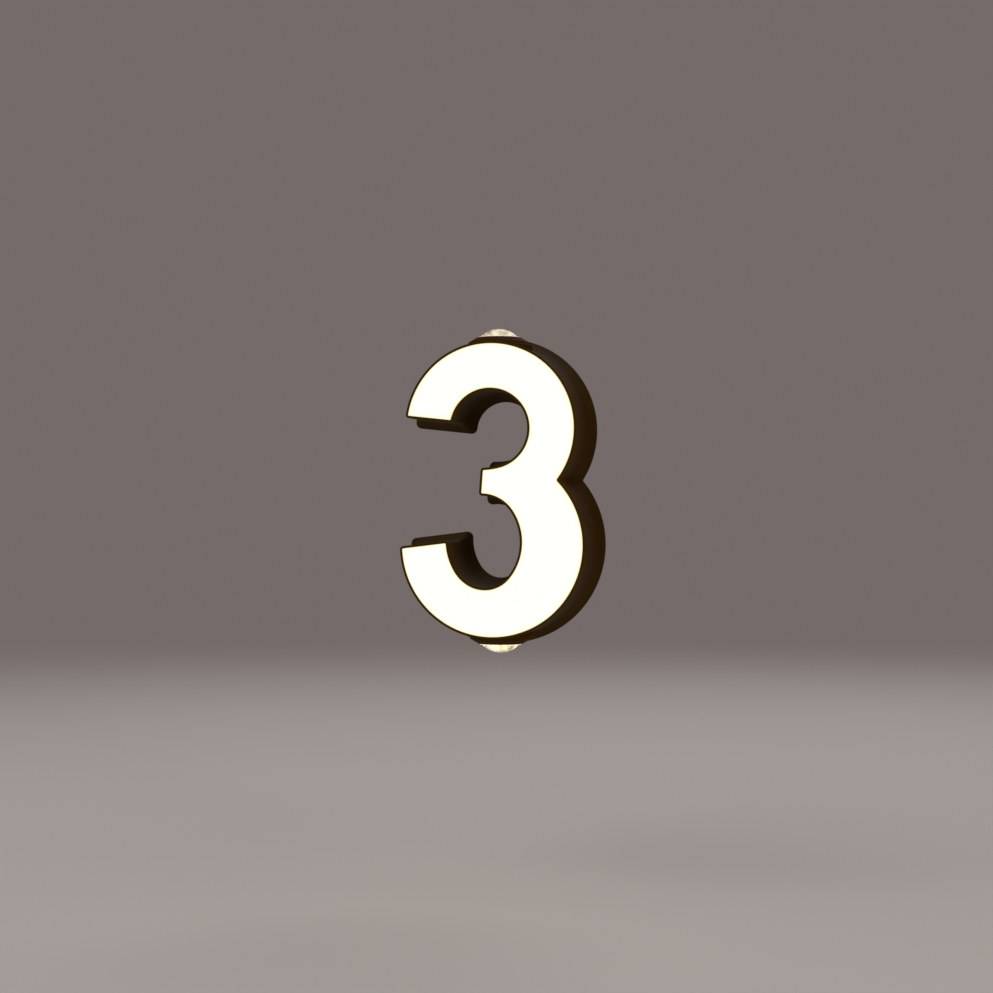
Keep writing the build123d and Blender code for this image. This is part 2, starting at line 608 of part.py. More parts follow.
with BuildPart() as driver_case:
    with BuildSketch(Plane.XZ.offset(PLATE_T)) as body:
        with Locations((DRV_X, DRV_Z)):
            RectangleRounded(DRV_W, DRV_L, 1.2)
    extrude(body.sketch, amount=DRV_H)
    with BuildSketch(Plane.XZ.offset(PLATE_T)) as ears:
        with Locations((DRV_X, DRV_Z)):
            RectangleRounded(10.0, DRV_L + 11.0, 1.5)
    extrude(ears.sketch, amount=2.0)
    with BuildSketch(Plane.XZ.offset(PLATE_T + DRV_WALL)) as hollow:
        with Locations((DRV_X, DRV_Z)):
            Rectangle(DRV_W - 2 * DRV_WALL, DRV_L - 2 * DRV_WALL)
    extrude(hollow.sketch, amount=DRV_H, mode=Mode.SUBTRACT)
    with BuildSketch(Plane.XZ.offset(PLATE_T)) as ear_holes:
        with Locations((DRV_X, DRV_TOP + 2.8), (DRV_X, DRV_LOW - 2.8)):
            Circle(1.6)
    extrude(ear_holes.sketch, amount=2.0, mode=Mode.SUBTRACT)
    with BuildSketch(Plane.XY.offset(DRV_TOP - DRV_WALL)) as ports:
        with Locations(*[(x, -d) for x, d in TOP_PORTS]):
            Circle(0.95)
    extrude(ports.sketch, amount=DRV_WALL, mode=Mode.SUBTRACT)
    with BuildSketch(Plane.XY.offset(DRV_LOW)) as low_ports:
        with Locations(*[(x, -d) for x, d in LOW_PORTS]):
            Circle(0.95)
    extrude(low_ports.sketch, amount=DRV_WALL, mode=Mode.SUBTRACT)
save(driver_case.part, "driver_case")

with BuildPart() as driver_potting:
    with BuildSketch(Plane.XZ.offset(PLATE_T + DRV_WALL)) as fill:
        with Locations((DRV_X, DRV_Z)):
            Rectangle(DRV_W - 2 * DRV_WALL, DRV_L - 2 * DRV_WALL)
    extrude(fill.sketch, amount=DRV_H - DRV_WALL - 1.0)
save(driver_potting.part, "driver_potting")

with BuildPart() as driver_screws:
    places = [(DRV_X, DRV_TOP + 2.8), (DRV_X, DRV_LOW - 2.8)]
    with BuildSketch(Plane.XZ.offset(0.3)) as shanks:
        with Locations(*places):
            Circle(1.5)
    extrude(shanks.sketch, amount=3.7)
    with BuildSketch(Plane.XZ.offset(PLATE_T + 2.0)) as heads:
        with Locations(*places):
            Circle(2.7)
    extrude(heads.sketch, amount=1.8)
    with BuildSketch(Plane.XZ.offset(PLATE_T + 2.9)) as recess:
        with Locations(*places):
            Rectangle(2.6, 0.7)
            Rectangle(0.7, 2.6)
    extrude(recess.sketch, amount=1.0, mode=Mode.SUBTRACT)
save(driver_screws.part, "driver_screws")

# ---------------------------------------------------------------- terminal block
TB_AXIS = 9.0           # depth of the wire entries
with BuildPart() as terminal_block:
    with BuildSketch(Plane.XZ.offset(PLATE_T)) as body:
        with Locations((TB_X, TB_Z)):
            Rectangle(TB_W, TB_L)
    extrude(body.sketch, amount=TB_H)
    with BuildSketch(Plane.YZ.offset(TB_X - TB_W / 2)) as bores:
        with Locations(*[(-TB_AXIS, z) for z in TB_POLES]):
            Circle(2.0)
    extrude(bores.sketch, amount=TB_W, mode=Mode.SUBTRACT)
    with BuildSketch(Plane.XZ.offset(TB_AXIS)) as wells:
        with Locations(*[(TB_X + dx, z) for z in TB_POLES for dx in (-4.5, 4.5)]):
            Circle(1.9)
    extrude(wells.sketch, amount=TB_H, mode=Mode.SUBTRACT)
    with BuildSketch(Plane.XZ.offset(PLATE_T)) as fixing:
        with Locations((TB_X, TB_Z - 4.5)):
            Circle(1.35)
    extrude(fixing.sketch, amount=TB_H, mode=Mode.SUBTRACT)
    with BuildSketch(Plane.XZ.offset(12.0)) as sink:
        with Locations((TB_X, TB_Z - 4.5)):
            Circle(2.35)
    extrude(sink.sketch, amount=TB_H, mode=Mode.SUBTRACT)
save(terminal_block.part, "terminal_block")

with BuildPart() as terminal_inserts:
    with BuildSketch(Plane.YZ.offset(TB_X - 7.5)) as tubes:
        with Locations(*[(-TB_AXIS, z) for z in TB_POLES]):
            Circle(1.95)
            Circle(1.3, mode=Mode.SUBTRACT)
    extrude(tubes.sketch, amount=15.0)
save(terminal_inserts.part, "terminal_inserts")

with BuildPart() as terminal_screws:
    spots = [(TB_X + dx, z) for z in TB_POLES for dx in (-4.5, 4.5)]
    with BuildSketch(Plane.XZ.offset(TB_AXIS + 2.0)) as bodies:
        with Locations(*spots):
            Circle(1.6)
    extrude(bodies.sketch, amount=3.4)
    with BuildSketch(Plane.XZ.offset(TB_AXIS + 4.6)) as slits:
        with Locations(*spots):
            Rectangle(3.4, 0.6)
    extrude(slits.sketch, amount=1.0, mode=Mode.SUBTRACT)
save(terminal_screws.part, "terminal_screws")

with BuildPart() as terminal_block_screw:
    with BuildSketch(Plane.XZ.offset(0.3)) as shank:
        with Locations((TB_X, TB_Z - 4.5)):
            Circle(1.2)
    extrude(shank.sketch, amount=11.7)
    with BuildSketch(Plane.XZ.offset(12.0)) as head:
        with Locations((TB_X, TB_Z - 4.5)):
            Circle(2.2)
    extrude(head.sketch, amount=1.7)
    with BuildSketch(Plane.XZ.offset(12.9)) as recess:
        with Locations((TB_X, TB_Z - 4.5)):
            Rectangle(2.2, 0.6)
            Rectangle(0.6, 2.2)
    extrude(recess.sketch, amount=1.0, mode=Mode.SUBTRACT)
save(terminal_block_screw.part, "terminal_block_screw")

# ---------------------------------------------------------------- earth
with BuildPart() as earth_lug:
    with BuildSketch(Plane.XZ.offset(PLATE_T)) as eye:
        with Locations(EARTH):
            Circle(3.7)
        with Locations((EARTH[0], EARTH[1] - 4.0)):
            Rectangle(3.4, 6.0)
        with Locations(EARTH):
            Circle(2.1, mode=Mode.SUBTRACT)
    extrude(eye.sketch, amount=1.0)
    with BuildSketch(Plane.XY.offset(EARTH[1] - 9.5)) as barrel:
        with Locations((EARTH[0], -(PLATE_T + 1.7))):
            Circle(1.65)
    extrude(barrel.sketch, amount=4.5)
    with BuildSketch(Plane.XY.offset(EARTH[1] - 9.5)) as crimp:
        with Locations((EARTH[0], -(PLATE_T + 1.7))):
            Circle(0.9)
    extrude(crimp.sketch, amount=3.5, mode=Mode.SUBTRACT)
save(earth_lug.part, "earth_lug")

with BuildPart() as earth_screw:
    with BuildSketch(Plane.XZ.offset(0.3)) as shank:
        with Locations(EARTH):
            Circle(1.95)
    extrude(shank.sketch, amount=PLATE_T + 0.7)
    with BuildSketch(Plane.XZ.offset(PLATE_T + 1.0)) as head:
        with Locations(EARTH):
            Circle(3.5)
    extrude(head.sketch, amount=2.4)
    with BuildSketch(Plane.XZ.offset(PLATE_T + 2.2)) as recess:
        with Locations(EARTH):
            Rectangle(4.0, 0.9)
            Rectangle(0.9, 4.0)
    extrude(recess.sketch, amount=1.5, mode=Mode.SUBTRACT)
save(earth_screw.part, "earth_screw")


# ---------------------------------------------------------------- leads
LEAD_R = 0.8


def lead(points, radii):
    """A round insulated lead: straight runs joined by tangent arcs.
    Points are (X, depth, Z)."""
    pts = [(x, -d, z) for x, d, z in points]
    with BuildLine() as run:
        FilletPolyline(*pts, radius=radii)
    start = run.line @ 0
    along = run.line % 0
    with BuildSketch(Plane(origin=start, z_dir=along)) as section:
        Circle(LEAD_R)
    sweep(section.sketch, path=run.line)


with BuildPart() as supply_leads:
    lead([(34, 9, 41), (27.6, 9, 41), (27.6, 9, 4), (30, 9, -4), (30, 9, -11.5)], [3, 6, 4])
    lead([(34, 9, 32), (29.6, 9, 32), (29.6, 9, 6), (33.5, 9, -3), (33.5, 9, -11.5)], [2.5, 6, 4])
save(supply_leads.part, "supply_leads")

with BuildPart() as earth_lead:
    lead([(34, 9, 50), (26.5, 9, 50), (24.5, 8.5, 57), (20, 3.7, 63), (20, 3.7, 72.9)], [3, 4, 4])
save(earth_lead.part, "earth_lead")

with BuildPart() as board_leads:
    lead([(41, 18, -11.5), (41, 18, -5), (30, 26, 2), (12.5, 34, 4), (12.5, 44.7, 4)], [4, 6, 4])
    lead([(44, 18, -11.5), (44, 18, -5), (33, 26, 2), (15.5, 34, 4), (15.5, 44.7, 4)], [4, 6, 4])
save(board_leads.part, "board_leads")

with BuildPart() as top_spot_leads:
    lead([(45.2, 12, -11.5), (45.2, 12, -6), (38, 20, 8), (34, 20, 24), (34.5, 20, 56), (24, 20.8, 68), (6, 20.8, 71.4), (-3.5, 20.8, 71.6), (-3.5, 20.8, 83.0)], [4, 8, 10, 12, 12, 8, 2.8])
    lead([(48.2, 12, -11.5), (48.2, 12, -6), (41, 20, 8), (37.5, 20, 24), (38.5, 20, 58), (27, 20.8, 72), (9, 20.8, 74.6), (0.5, 20.8, 74.8), (0.5, 20.8, 83.0)], [4, 8, 10, 12, 12, 8, 2.8])
save(top_spot_leads.part, "top_spot_leads")

with BuildPart() as bottom_spot_leads:
    lead([(32, 12, -62.5), (32, 12, -67), (22, 20.8, -71.4), (-2.1, 20.8, -71.6), (-2.1, 20.8, -83.0)], [3.5, 6, 2.8])
    lead([(35, 12, -62.5), (35, 12, -70), (24, 20.8, -74.6), (1.9, 20.8, -74.8), (1.9, 20.8, -83.0)], [3.5, 6, 2.8])
save(bottom_spot_leads.part, "bottom_spot_leads")
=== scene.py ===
import random
from math import atan2, cos, hypot, pi, radians, sin, sqrt

import bmesh
import bpy
from mathutils import Matrix, Vector


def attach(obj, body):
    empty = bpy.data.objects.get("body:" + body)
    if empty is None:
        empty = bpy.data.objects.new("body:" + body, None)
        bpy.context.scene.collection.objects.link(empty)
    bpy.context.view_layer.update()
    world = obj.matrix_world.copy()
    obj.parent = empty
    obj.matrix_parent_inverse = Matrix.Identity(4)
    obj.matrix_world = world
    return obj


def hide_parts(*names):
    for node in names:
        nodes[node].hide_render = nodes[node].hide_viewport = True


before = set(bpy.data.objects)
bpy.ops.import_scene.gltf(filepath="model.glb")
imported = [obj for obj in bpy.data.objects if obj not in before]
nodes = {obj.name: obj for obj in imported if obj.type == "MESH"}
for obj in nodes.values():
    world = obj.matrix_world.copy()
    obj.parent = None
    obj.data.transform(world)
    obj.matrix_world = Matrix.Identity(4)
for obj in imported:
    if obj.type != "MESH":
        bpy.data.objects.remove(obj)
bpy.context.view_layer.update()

MM = 0.001
scene = bpy.context.scene

# ------------------------------------------------------------------ camera
RIGHT = Vector((0.98122, 0.19288, 0.00138))
AHEAD = Vector((-0.19288, 0.98119, 0.00703))
AHEAD.normalize()
RIGHT = (RIGHT - AHEAD * RIGHT.dot(AHEAD)).normalized()
UP = RIGHT.cross(AHEAD)
cam_data = bpy.data.cameras.new("camera")
cam_data.sensor_fit = "HORIZONTAL"
cam_data.sensor_width = 36.0
cam_data.lens = 80.41
cam_data.clip_start = 0.01
cam_data.clip_end = 60.0
cam = bpy.data.objects.new("camera", cam_data)
scene.collection.objects.link(cam)
rot = Matrix((RIGHT, UP, -AHEAD)).transposed()
cam.matrix_world = Matrix.Translation((0.28933, -1.51515, -0.01471)) @ rot.to_4x4()
scene.camera = cam


# ------------------------------------------------------------------ outline
# The numeral's outline, (X, Z) in millimetres, as tangent arcs and straight ends.
UP_C, UP_R = (-1.5, 41.5), 57.0
LO_C, LO_R = (-0.1, -36.9), 61.6
UC_C, UC_R = (-1.7, 41.4), 27.2
UC_NIB = (-76.6, 54.7)
LC_C, LC_R = (-17.56, -34.87), 38.11
LC_NIB = (34.0, 25.5)
LC_LOW = [(-39.5, 21.9), (-115.8, 26.3), (-149.0, 41.65)]
TERM_UP_OUT, TERM_UP_IN = (-57.75, 50.15), (-28.40, 47.00)
TERM_LO_OUT, TERM_LO_IN = (-61.65, -39.30), (-31.60, -35.60)
NOTCH, NOTCH_R = (43.60, 6.70), 1.7
NIB_LO, NIB_UP = (-7.33, -2.48), (-6.20, 13.46)


def on_arc(c, r, ang):
    return (c[0] + r * cos(radians(ang)), c[1] + r * sin(radians(ang)))


def next_centre(c, r, ang, r_next):
    return on_arc(on_arc(c, r, ang), -r_next, ang)


def outline_elements():
    nib_low = next_centre(LC_C, LC_R, LC_NIB[0], LC_NIB[1])
    low, c, r = [], LC_C, LC_R
    for ang, r_next in LC_LOW:
        c = next_centre(c, r, ang, r_next)
        low.append((c, r_next, on_arc(c, r_next, ang)))
        r = r_next
    nib_up = next_centre(UC_C, UC_R, UC_NIB[0], UC_NIB[1])
    return [
        (("corner", TERM_UP_OUT), (UP_C, UP_R, 1)),
        (("notch", NOTCH), (LO_C, LO_R, 1)),
        (("corner", TERM_LO_OUT), (TERM_LO_OUT, TERM_LO_IN)),
        (("corner", TERM_LO_IN), (low[2][0], low[2][1], -1)),
        (("smooth", low[2][2]), (low[1][0], low[1][1], -1)),
        (("smooth", low[1][2]), (low[0][0], low[0][1], -1)),
        (("smooth", low[0][2]), (LC_C, LC_R, -1)),
        (("smooth", on_arc(LC_C, LC_R, LC_NIB[0])), (nib_low, LC_NIB[1], -1)),
        (("corner", NIB_LO), (NIB_LO, NIB_UP)),
        (("corner", NIB_UP), (nib_up, UC_NIB[1], -1)),
        (("smooth", on_arc(UC_C, UC_R, UC_NIB[0])), (UC_C, UC_R, -1)),
        (("corner", TERM_UP_IN), (TERM_UP_IN, TERM_UP_OUT)),
    ]


ELEMENTS = outline_elements()
# segments of each element and of each rounded corner, the same at every level
SEGMENTS = [150, 150, 10, 22, 12, 18, 40, 22, 6, 26, 90, 10]
ROUND = 9


def grown(e, g):
    if len(e) == 3:
        return (e[0], e[1] + e[2] * g, e[2])
    (x1, z1), (x2, z2) = e
    d = hypot(x2 - x1, z2 - z1)
    nx, nz = -(z2 - z1) / d * g, (x2 - x1) / d * g
    return ((x1 + nx, z1 + nz), (x2 + nx, z2 + nz))


def foot(e, p):
    if len(e) == 3:
        d = hypot(p[0] - e[0][0], p[1] - e[0][1])
        return (e[0][0] + (p[0] - e[0][0]) * e[1] / d, e[0][1] + (p[1] - e[0][1]) * e[1] / d)
    (x1, z1), (x2, z2) = e
    t = ((p[0] - x1) * (x2 - x1) + (p[1] - z1) * (z2 - z1)) / ((x2 - x1) ** 2 + (z2 - z1) ** 2)
    return (x1 + t * (x2 - x1), z1 + t * (z2 - z1))


def meet(e1, e2, near):
    if len(e1) == 2:
        e1, e2 = e2, e1
    (cx, cz), r = e1[0], e1[1]
    if len(e2) == 2:
        m = foot(e2, (cx, cz))
        (x1, z1), (x2, z2) = e2
        d = hypot(x2 - x1, z2 - z1)
        ux, uz = (x2 - x1) / d, (z2 - z1) / d
        h2 = r * r - (m[0] - cx) ** 2 - (m[1] - cz) ** 2
    else:
        (kx, kz), q = e2[0], e2[1]
        d = hypot(kx - cx, kz - cz)
        a = (r * r - q * q + d * d) / (2 * d)
        m = (cx + a * (kx - cx) / d, cz + a * (kz - cz) / d)
        ux, uz = -(kz - cz) / d, (kx - cx) / d
        h2 = r * r - a * a
    h = sqrt(max(h2, 0.0))
    both = [(m[0] + s * h * ux, m[1] + s * h * uz) for s in (1, -1)]
    return min(both, key=lambda p: hypot(p[0] - near[0], p[1] - near[1]))


def ring(g, corner, notch):
    """The outline grown by g, clockwise, with these radii at its corners and its notch.
    Every ring has the same number of points, in the same order."""
    n = len(ELEMENTS)
    starts, ends, rounds = [None] * n, [None] * n, [None] * n
    for i in range(n):
        (kind, p), e, before = ELEMENTS[i][0], ELEMENTS[i][1], ELEMENTS[i - 1][1]
        e_g, b_g = grown(e, g), grown(before, g)
        if kind == "smooth":
            starts[i] = ends[i - 1] = foot(e_g, p)
            continue
        base, r = (g - corner, corner) if kind == "corner" else (g + notch, notch)
        c = meet(grown(e, base), grown(before, base), p)
        starts[i], ends[i - 1] = foot(e_g, c), foot(b_g, c)
        rounds[i] = (c, r)
    pts = []
    for i in range(n):
        if rounds[i]:
            c, r = rounds[i]
            p, q = ends[i - 1], starts[i]
            a0 = atan2(p[1] - c[1], p[0] - c[0])
            turn = (atan2(q[1] - c[1], q[0] - c[0]) - a0 + pi) % (2 * pi) - pi
            for k in range(ROUND):
                a = a0 + turn * k / ROUND
                pts.append((c[0] + r * cos(a), c[1] + r * sin(a)))
        e = grown(ELEMENTS[i][1], g)
        s, t = starts[i], ends[i]
        if len(e) == 2:
            for k in range(SEGMENTS[i]):
                u = k / SEGMENTS[i]
                pts.append((s[0] + u * (t[0] - s[0]), s[1] + u * (t[1] - s[1])))
        else:
            c, r, side = e
            a0 = atan2(s[1] - c[1], s[0] - c[0])
            a1 = atan2(t[1] - c[1], t[0] - c[0])
            turn = (a1 - a0) % (2 * pi) if side < 0 else -((a0 - a1) % (2 * pi))
            for k in range(SEGMENTS[i]):
                a = a0 + turn * k / SEGMENTS[i]
                pts.append((c[0] + r * cos(a), c[1] + r * sin(a)))
    return pts


# ------------------------------------------------------------------ mesh helpers
def new_object(name, verts, faces, smooth_angle=35.0):
    mesh = bpy.data.meshes.new(name)
    mesh.from_pydata([tuple(v) for v in verts], [], faces)
    mesh.validate()
    obj = bpy.data.objects.new(name, mesh)
    scene.collection.objects.link(obj)
    finish_mesh(obj, smooth_angle)
    return obj


def finish_mesh(obj, smooth_angle=35.0):
    """Outward normals, and smooth shading up to an angle."""
    bm = bmesh.new()
    bm.from_mesh(obj.data)
    bmesh.ops.recalc_face_normals(bm, faces=bm.faces)
    if bm.calc_volume(signed=True) < 0:
        bmesh.ops.reverse_faces(bm, faces=bm.faces)
    bm.to_mesh(obj.data)
    bm.free()
    obj.data.shade_smooth()
    obj.data.set_sharp_from_angle(angle=radians(smooth_angle))


def lofted(name, levels, close_section=True, smooth_angle=35.0):
    """Rings of the outline joined in order. levels holds (g, depth, corner, notch).
    A closed section makes a tube of wall; an open one is capped at both ends."""
    rings = []
    for g, depth, corner, notch in levels:
        rings.append([(x * MM, -depth * MM, z * MM) for x, z in ring(g, corner, notch)])
    n, m = len(rings[0]), len(rings)
    verts = [p for r in rings for p in r]
    faces = []
    for j in range(m if close_section else m - 1):
        a, b = j * n, ((j + 1) % m) * n
        for i in range(n):
            k = (i + 1) % n
            faces.append((a + i, a + k, b + k, b + i))
    if not close_section:
        faces.append(tuple(range(n)))
        faces.append(tuple(reversed(range((m - 1) * n, m * n))))
    return new_object(name, verts, faces, smooth_angle)


def lathe(name, centre, up, profile, steps=128, smooth_angle=30.0, flute=None):
    """A turned solid. profile holds (radius, height) in millimetres, and is closed.
    Points at radius 0 become single vertices. up is 1 or -1 along Z.
    flute(angle, radius, height) may move a point's height."""
    verts, index = [], []
    for r, h in profile:
        if r <= 1e-6:
            index.append([len(verts)] * steps)
            verts.append((centre[0], centre[1], up * h * MM))
            continue
        row = []
        for k in range(steps):
            a = 2 * pi * k / steps
            hh = h + (flute(a, r, h) if flute else 0.0)
            row.append(len(verts))
            verts.append((centre[0] + r * MM * cos(a), centre[1] + r * MM * sin(a), up * hh * MM))
        index.append(row)
    faces = []
    m = len(profile)
    for j in range(m):
        a, b = index[j], index[(j + 1) % m]
        for k in range(steps):
            l = (k + 1) % steps
            f = []
            for v in (a[k], a[l], b[l], b[k]):
                if v not in f:
                    f.append(v)
            if len(f) > 2:
                faces.append(tuple(f))
    return new_object(name, verts, faces, smooth_angle)


def rounded(profile, radii, steps=4):
    """A closed profile with some of its corners rounded."""
    out, n = [], len(profile)
    for i, p in enumerate(profile):
        r = radii.get(i, 0.0)
        if r <= 0:
            out.append(p)
            continue
        a, b = profile[i - 1], profile[(i + 1) % n]
        ua, ub = Vector((a[0] - p[0], a[1] - p[1])), Vector((b[0] - p[0], b[1] - p[1]))
        la, lb = ua.length, ub.length
        ua.normalize(), ub.normalize()
        half = ua.angle(ub) / 2
        t = min(r / max(1e-6, abs(sin(half) / cos(half))), la * 0.49, lb * 0.49)
        r = t * abs(sin(half) / cos(half))
        c = Vector(p) + (ua + ub).normalized() * (r / sin(half))
        s, e = Vector(p) + ua * t, Vector(p) + ub * t
        a0 = atan2(s.y - c.y, s.x - c.x)
        turn = (atan2(e.y - c.y, e.x - c.x) - a0 + pi) % (2 * pi) - pi
        for k in range(steps + 1):
            ang = a0 + turn * k / steps
            out.append((c.x + r * cos(ang), c.y + r * sin(ang)))
    return out


def rod(name, start, along, r, length, steps=32):
    """A plain round tool for cutting or joining, from a point along a direction."""
    along = Vector(along).normalized()
    side = along.orthogonal().normalized()
    other = along.cross(side)
    verts, faces = [], []
    for h in (0.0, length):
        for k in range(steps):
            a = 2 * pi * k / steps
            verts.append(Vector(start) + along * h + side * (r * cos(a)) + other * (r * sin(a)))
    for k in range(steps):
        l = (k + 1) % steps
        faces.append((k, l, steps + l, steps + k))
    faces.append(tuple(reversed(range(steps))))
    faces.append(tuple(range(steps, 2 * steps)))
    return new_object(name, verts, faces)


def combine(target, tool, how):
    """Joins or cuts with an exact boolean and removes the tool."""
    mod = target.modifiers.new("combine", "BOOLEAN")
    mod.operation = how
    mod.solver = "EXACT"
    mod.object = tool
    bpy.context.view_layer.update()
    dep = bpy.context.evaluated_depsgraph_get()
    mesh = bpy.data.meshes.new_from_object(target.evaluated_get(dep))
    target.modifiers.clear()
    old = target.data
    target.data = mesh
    mesh.name = old.name
    bpy.data.meshes.remove(old)
    bpy.data.objects.remove(tool)


# ------------------------------------------------------------------ materials
def shader(name, nodes_wanted=True):
    mat = bpy.data.materials.new(name)
    mat.use_nodes = True
    tree = mat.node_tree
    tree.nodes.clear()
    out = tree.nodes.new("ShaderNodeOutputMaterial")
    bsdf = tree.nodes.new("ShaderNodeBsdfPrincipled")
    tree.links.new(bsdf.outputs["BSDF"], out.inputs["Surface"])
    return mat, tree, bsdf, out


def noise(tree, scale, detail=3.0, rough=0.5, stretch=(1, 1, 1)):
    co = tree.nodes.new("ShaderNodeTexCoord")
    mapping = tree.nodes.new("ShaderNodeMapping")
    mapping.inputs["Scale"].default_value = stretch
    tree.links.new(co.outputs["Object"], mapping.inputs["Vector"])
    n = tree.nodes.new("ShaderNodeTexNoise")
    n.inputs["Scale"].default_value = scale
    n.inputs["Detail"].default_value = detail
    n.inputs["Roughness"].default_value = rough
    tree.links.new(mapping.outputs["Vector"], n.inputs["Vector"])
    return n.outputs["Fac"]


def ramp(tree, fac, stops):
    r = tree.nodes.new("ShaderNodeValToRGB")
    while len(r.color_ramp.elements) < len(stops):
        r.color_ramp.elements.new(0.5)
    for el, (pos, col) in zip(r.color_ramp.elements, stops):
        el.position = pos
        el.color = (*col, 1.0) if len(col) == 3 else col
    tree.links.new(fac, r.inputs["Fac"])
    return r.outputs["Color"]


def spread(tree, fac, low, high):
    m = tree.nodes.new("ShaderNodeMapRange")
    m.inputs["To Min"].default_value = low
    m.inputs["To Max"].default_value = high
    tree.links.new(fac, m.inputs["Value"])
    return m.outputs["Result"]


def bump(tree, bsdf, height, distance, strength=1.0):
    b = tree.nodes.new("ShaderNodeBump")
    b.inputs["Distance"].default_value = distance
    b.inputs["Strength"].default_value = strength
    tree.links.new(height, b.inputs["Height"])
    tree.links.new(b.outputs["Normal"], bsdf.inputs["Normal"])


def surface(name, low, high, rough=(0.4, 0.55), metallic=0.0, patch=60.0, grain=1500.0, depth=0.00002, specular=0.5, stretch=(1, 1, 1)):
    """A finish with soft patches of colour, uneven gloss and a fine grain."""
    mat, tree, bsdf, _ = shader(name)
    tree.links.new(ramp(tree, noise(tree, patch, 4.0), [(0.3, low), (0.7, high)]), bsdf.inputs["Base Color"])
    tree.links.new(spread(tree, noise(tree, patch * 3.1, 3.0, 0.6), *rough), bsdf.inputs["Roughness"])
    bsdf.inputs["Metallic"].default_value = metallic
    bsdf.inputs["Specular IOR Level"].default_value = specular
    bump(tree, bsdf, noise(tree, grain, 2.0, 0.6, stretch), depth)
    return mat


def depth_coord(tree):
    """Distance from the wall in metres, as a value."""
    co = tree.nodes.new("ShaderNodeTexCoord")
    split = tree.nodes.new("ShaderNodeSeparateXYZ")
    tree.links.new(co.outputs["Object"], split.inputs["Vector"])
    flip = tree.nodes.new("ShaderNodeMath")
    flip.operation = "MULTIPLY"
    flip.inputs[1].default_value = -1.0
    tree.links.new(split.outputs["Y"], flip.inputs[0])
    return flip.outputs[0]


def painted_glow_coat_material(name, low, high, glow=None):
    """Satin powder coat: dark bronze with orange peel and a fine grain, plus painted glow.
    By default an emission lifts the whole body and is warmest just behind the rim: painted light
    standing in for spill from the lit face. A glow gives an even painted glow instead, as round a lit lens."""
    mat, tree, bsdf, _ = shader(name)
    tree.links.new(ramp(tree, noise(tree, 45.0, 5.0), [(0.3, low), (0.72, high)]), bsdf.inputs["Base Color"])
    tree.links.new(spread(tree, noise(tree, 160.0, 4.0, 0.6), 0.56, 0.72), bsdf.inputs["Roughness"])
    bsdf.inputs["Metallic"].default_value = 0.0
    bsdf.inputs["Specular IOR Level"].default_value = 0.025
    # painted glow: an even emission on the coat, painted light as round a lit lens
    if glow:
        bsdf.inputs["Emission Color"].default_value = (*glow, 1.0)
        bsdf.inputs["Emission Strength"].default_value = 1.0
    else:
        # painted spill glow: emission that grows towards the front rim, painted light on the coat
        near = tree.nodes.new("ShaderNodeMapRange")
        near.interpolation_type = "SMOOTHERSTEP"
        near.inputs["From Min"].default_value = 0.016
        near.inputs["From Max"].default_value = 0.060
        tree.links.new(depth_coord(tree), near.inputs["Value"])
        warm = ramp(tree, near.outputs["Result"], [(0.0, (0.0020, 0.0009, 0.0)), (0.50, (0.0042, 0.0021, 0.0)), (0.85, (0.0070, 0.0042, 0.0)), (1.0, (0.0092, 0.0062, 0.0))])
        tree.links.new(warm, bsdf.inputs["Emission Color"])
        bsdf.inputs["Emission Strength"].default_value = 1.0
    peel = noise(tree, 520.0, 1.0, 0.4)
    grain = noise(tree, 2600.0, 2.0, 0.7)
    add = tree.nodes.new("ShaderNodeMath")
    add.operation = "MULTIPLY_ADD"
    tree.links.new(grain, add.inputs[0])
    add.inputs[1].default_value = 0.12
    tree.links.new(peel, add.inputs[2])
    bump(tree, bsdf, add.outputs[0], 0.000022, 0.7)
    return mat


def face_material():
    """Opal acrylic lit from behind: white, with a warmer and dimmer edge."""
    mat, tree, bsdf, _ = shader("opal_lit")
    edge = tree.nodes.new("ShaderNodeAttribute")
    edge.attribute_name = "inset"
    cloud = noise(tree, 35.0, 2.0)
    shift = tree.nodes.new("ShaderNodeMath")
    shift.operation = "MULTIPLY_ADD"
    tree.links.new(cloud, shift.inputs[0])
    shift.inputs[1].default_value = 0.10
    tree.links.new(edge.outputs["Fac"], shift.inputs[2])
    colour = ramp(tree, shift.outputs[0], [(0.0, (0.74, 0.62, 0.30)), (0.14, (0.95, 0.89, 0.62)), (0.42, (1.0, 0.97, 0.82)), (1.0, (1.0, 0.985, 0.905))])
    tree.links.new(colour, bsdf.inputs["Emission Color"])
    bsdf.inputs["Emission Strength"].default_value = 1.0
    tree.links.new(ramp(tree, cloud, [(0.3, (0.15, 0.145, 0.12)), (0.7, (0.18, 0.175, 0.15))]), bsdf.inputs["Base Color"])
    tree.links.new(spread(tree, noise(tree, 300.0, 3.0), 0.30, 0.40), bsdf.inputs["Roughness"])
    bsdf.inputs["Specular IOR Level"].default_value = 0.35
    bump(tree, bsdf, noise(tree, 900.0, 2.0), 0.000008)
    return mat


